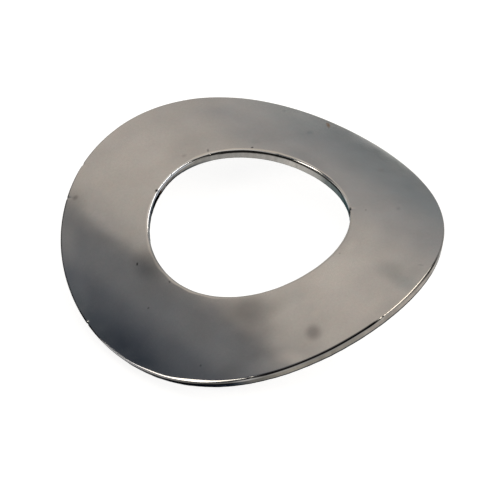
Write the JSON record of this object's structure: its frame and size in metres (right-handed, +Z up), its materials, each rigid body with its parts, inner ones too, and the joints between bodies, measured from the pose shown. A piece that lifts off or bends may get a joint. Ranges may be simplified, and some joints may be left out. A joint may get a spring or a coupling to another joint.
{
  "type": "curved spring washer",
  "caption": "Thin steel ring bent into one shallow arch, which flattens under a bolt head and keeps the joint tight.",
  "frame": {"origin": "on the resting plane, under the middle of the bolt hole", "axes": "+Z up along the bolt, X along the bend so that the two low ends are at -X and +X, Y along the crown"},
  "size_m": [0.0156, 0.0162, 0.0023],
  "materials": {
    "polished_steel": "smooth polished spring steel with soft reflections, faint stains and small nicks at the edges"
  },
  "bodies": {
    "root": {"spring_washer": "polished_steel"}
  },
  "joints": []
}
